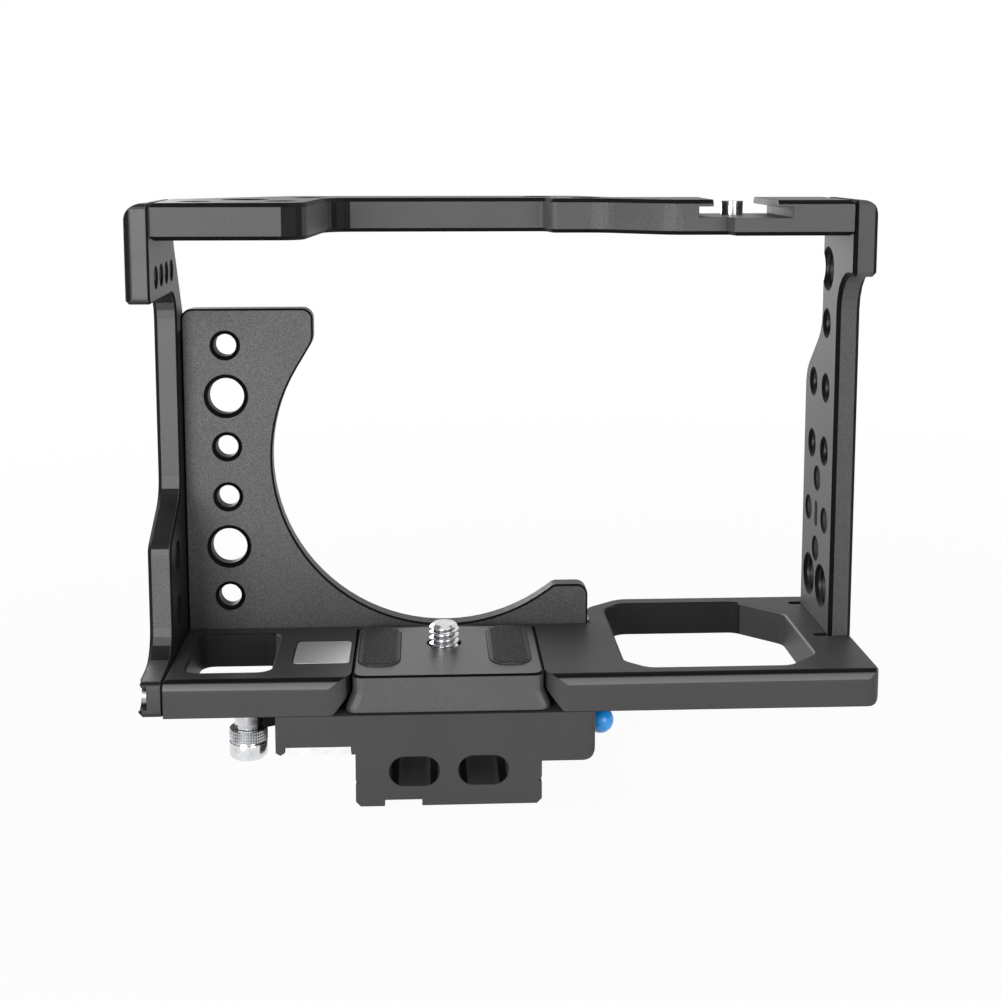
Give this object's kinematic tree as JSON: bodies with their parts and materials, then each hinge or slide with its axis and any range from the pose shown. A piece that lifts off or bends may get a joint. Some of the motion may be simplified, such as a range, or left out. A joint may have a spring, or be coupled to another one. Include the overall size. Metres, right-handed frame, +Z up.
{
  "type": "camera cage",
  "caption": "Box-shaped camera cage with a quick release base, locking lever, release button, lens-side plate, cold shoe and threaded holes.",
  "frame": {"origin": "middle of the foot's underside", "axes": "+X to the right seen from the operator's side, +Y towards the lens, +Z up"},
  "size_m": [0.1515, 0.055, 0.1227],
  "materials": {
    "black_anodised": "bead-blasted, black anodised",
    "lever_black": "black anodised",
    "silver_inlay": "satin silver, bare",
    "pad_rubber": "fine grip pattern",
    "polished_steel": "polished",
    "plain_steel": "turned",
    "black_screws": "black oxide",
    "blue_button": "gloss"
  },
  "bodies": {
    "cage": {"base_plate": "black_anodised", "clamp_block": "black_anodised", "top_plate": "black_anodised", "left_side_plate": "black_anodised", "right_side_plate": "black_anodised", "lens_plate": "black_anodised", "inlay_plate": "silver_inlay", "wear_strip": "polished_steel", "lever_pivot_pin": "plain_steel", "lever_washer": "plain_steel", "latch_spring": "plain_steel", "shoe_stop_screw": "polished_steel", "top_screws_left": "black_screws", "top_screws_right": "black_screws", "base_screws_left": "plain_steel", "base_screws_right": "black_screws", "lens_plate_screws": "black_screws", "block_screws": "black_screws"},
    "quick_plate": {"quick_release_plate": "black_anodised", "grip_pad_left": "pad_rubber", "grip_pad_right": "pad_rubber", "screw_clip": "plain_steel"},
    "screw": {"camera_screw": "polished_steel"},
    "lever": {"lock_lever": "lever_black", "knob_post": "polished_steel"},
    "knob": {"knob_sleeve": "polished_steel"},
    "jaw": {"clamp_jaw": "black_anodised"},
    "button": {"release_button": "blue_button", "release_rod": "plain_steel"},
    "latch": {"latch_pin": "plain_steel"}
  },
  "joints": [
    {"name": "plate_slide", "type": "slide", "parent": "cage", "child": "quick_plate", "axis": [0, -1, 0], "range_m": [0, 0.02]},
    {"name": "camera_screw_spin", "type": "hinge", "parent": "quick_plate", "child": "screw", "pos_m": [-0.0006, 0.0014, 0.0216], "axis": [0, 0, 1], "continuous": true},
    {"name": "lever_swing", "type": "hinge", "parent": "cage", "child": "lever", "pos_m": [-0.0305, -0.0061, 0.0166], "axis": [0, 0, 1], "range_deg": [-65, 0]},
    {"name": "knob_spin", "type": "hinge", "parent": "lever", "child": "knob", "pos_m": [-0.04148, -0.01118, 0.011], "axis": [0, 0, 1], "continuous": true},
    {"name": "jaw_slide", "type": "slide", "parent": "cage", "child": "jaw", "axis": [-1, 0, 0], "range_m": [0, 0.0008]},
    {"name": "button_push", "type": "slide", "parent": "cage", "child": "button", "axis": [-1, 0, 0], "range_m": [0, 0.002], "stiffness_N_per_m": 400},
    {"name": "latch_drop", "type": "slide", "parent": "cage", "child": "latch", "axis": [0, 0, -1], "range_m": [0, 0.0018], "deforming": ["latch_spring"]}
  ],
  "couplings": [
    {"joint": "jaw_slide", "follows": "lever_swing", "m_per_rad": -0.000705},
    {"joint": "latch_drop", "follows": "button_push", "ratio": 0.9}
  ]
}
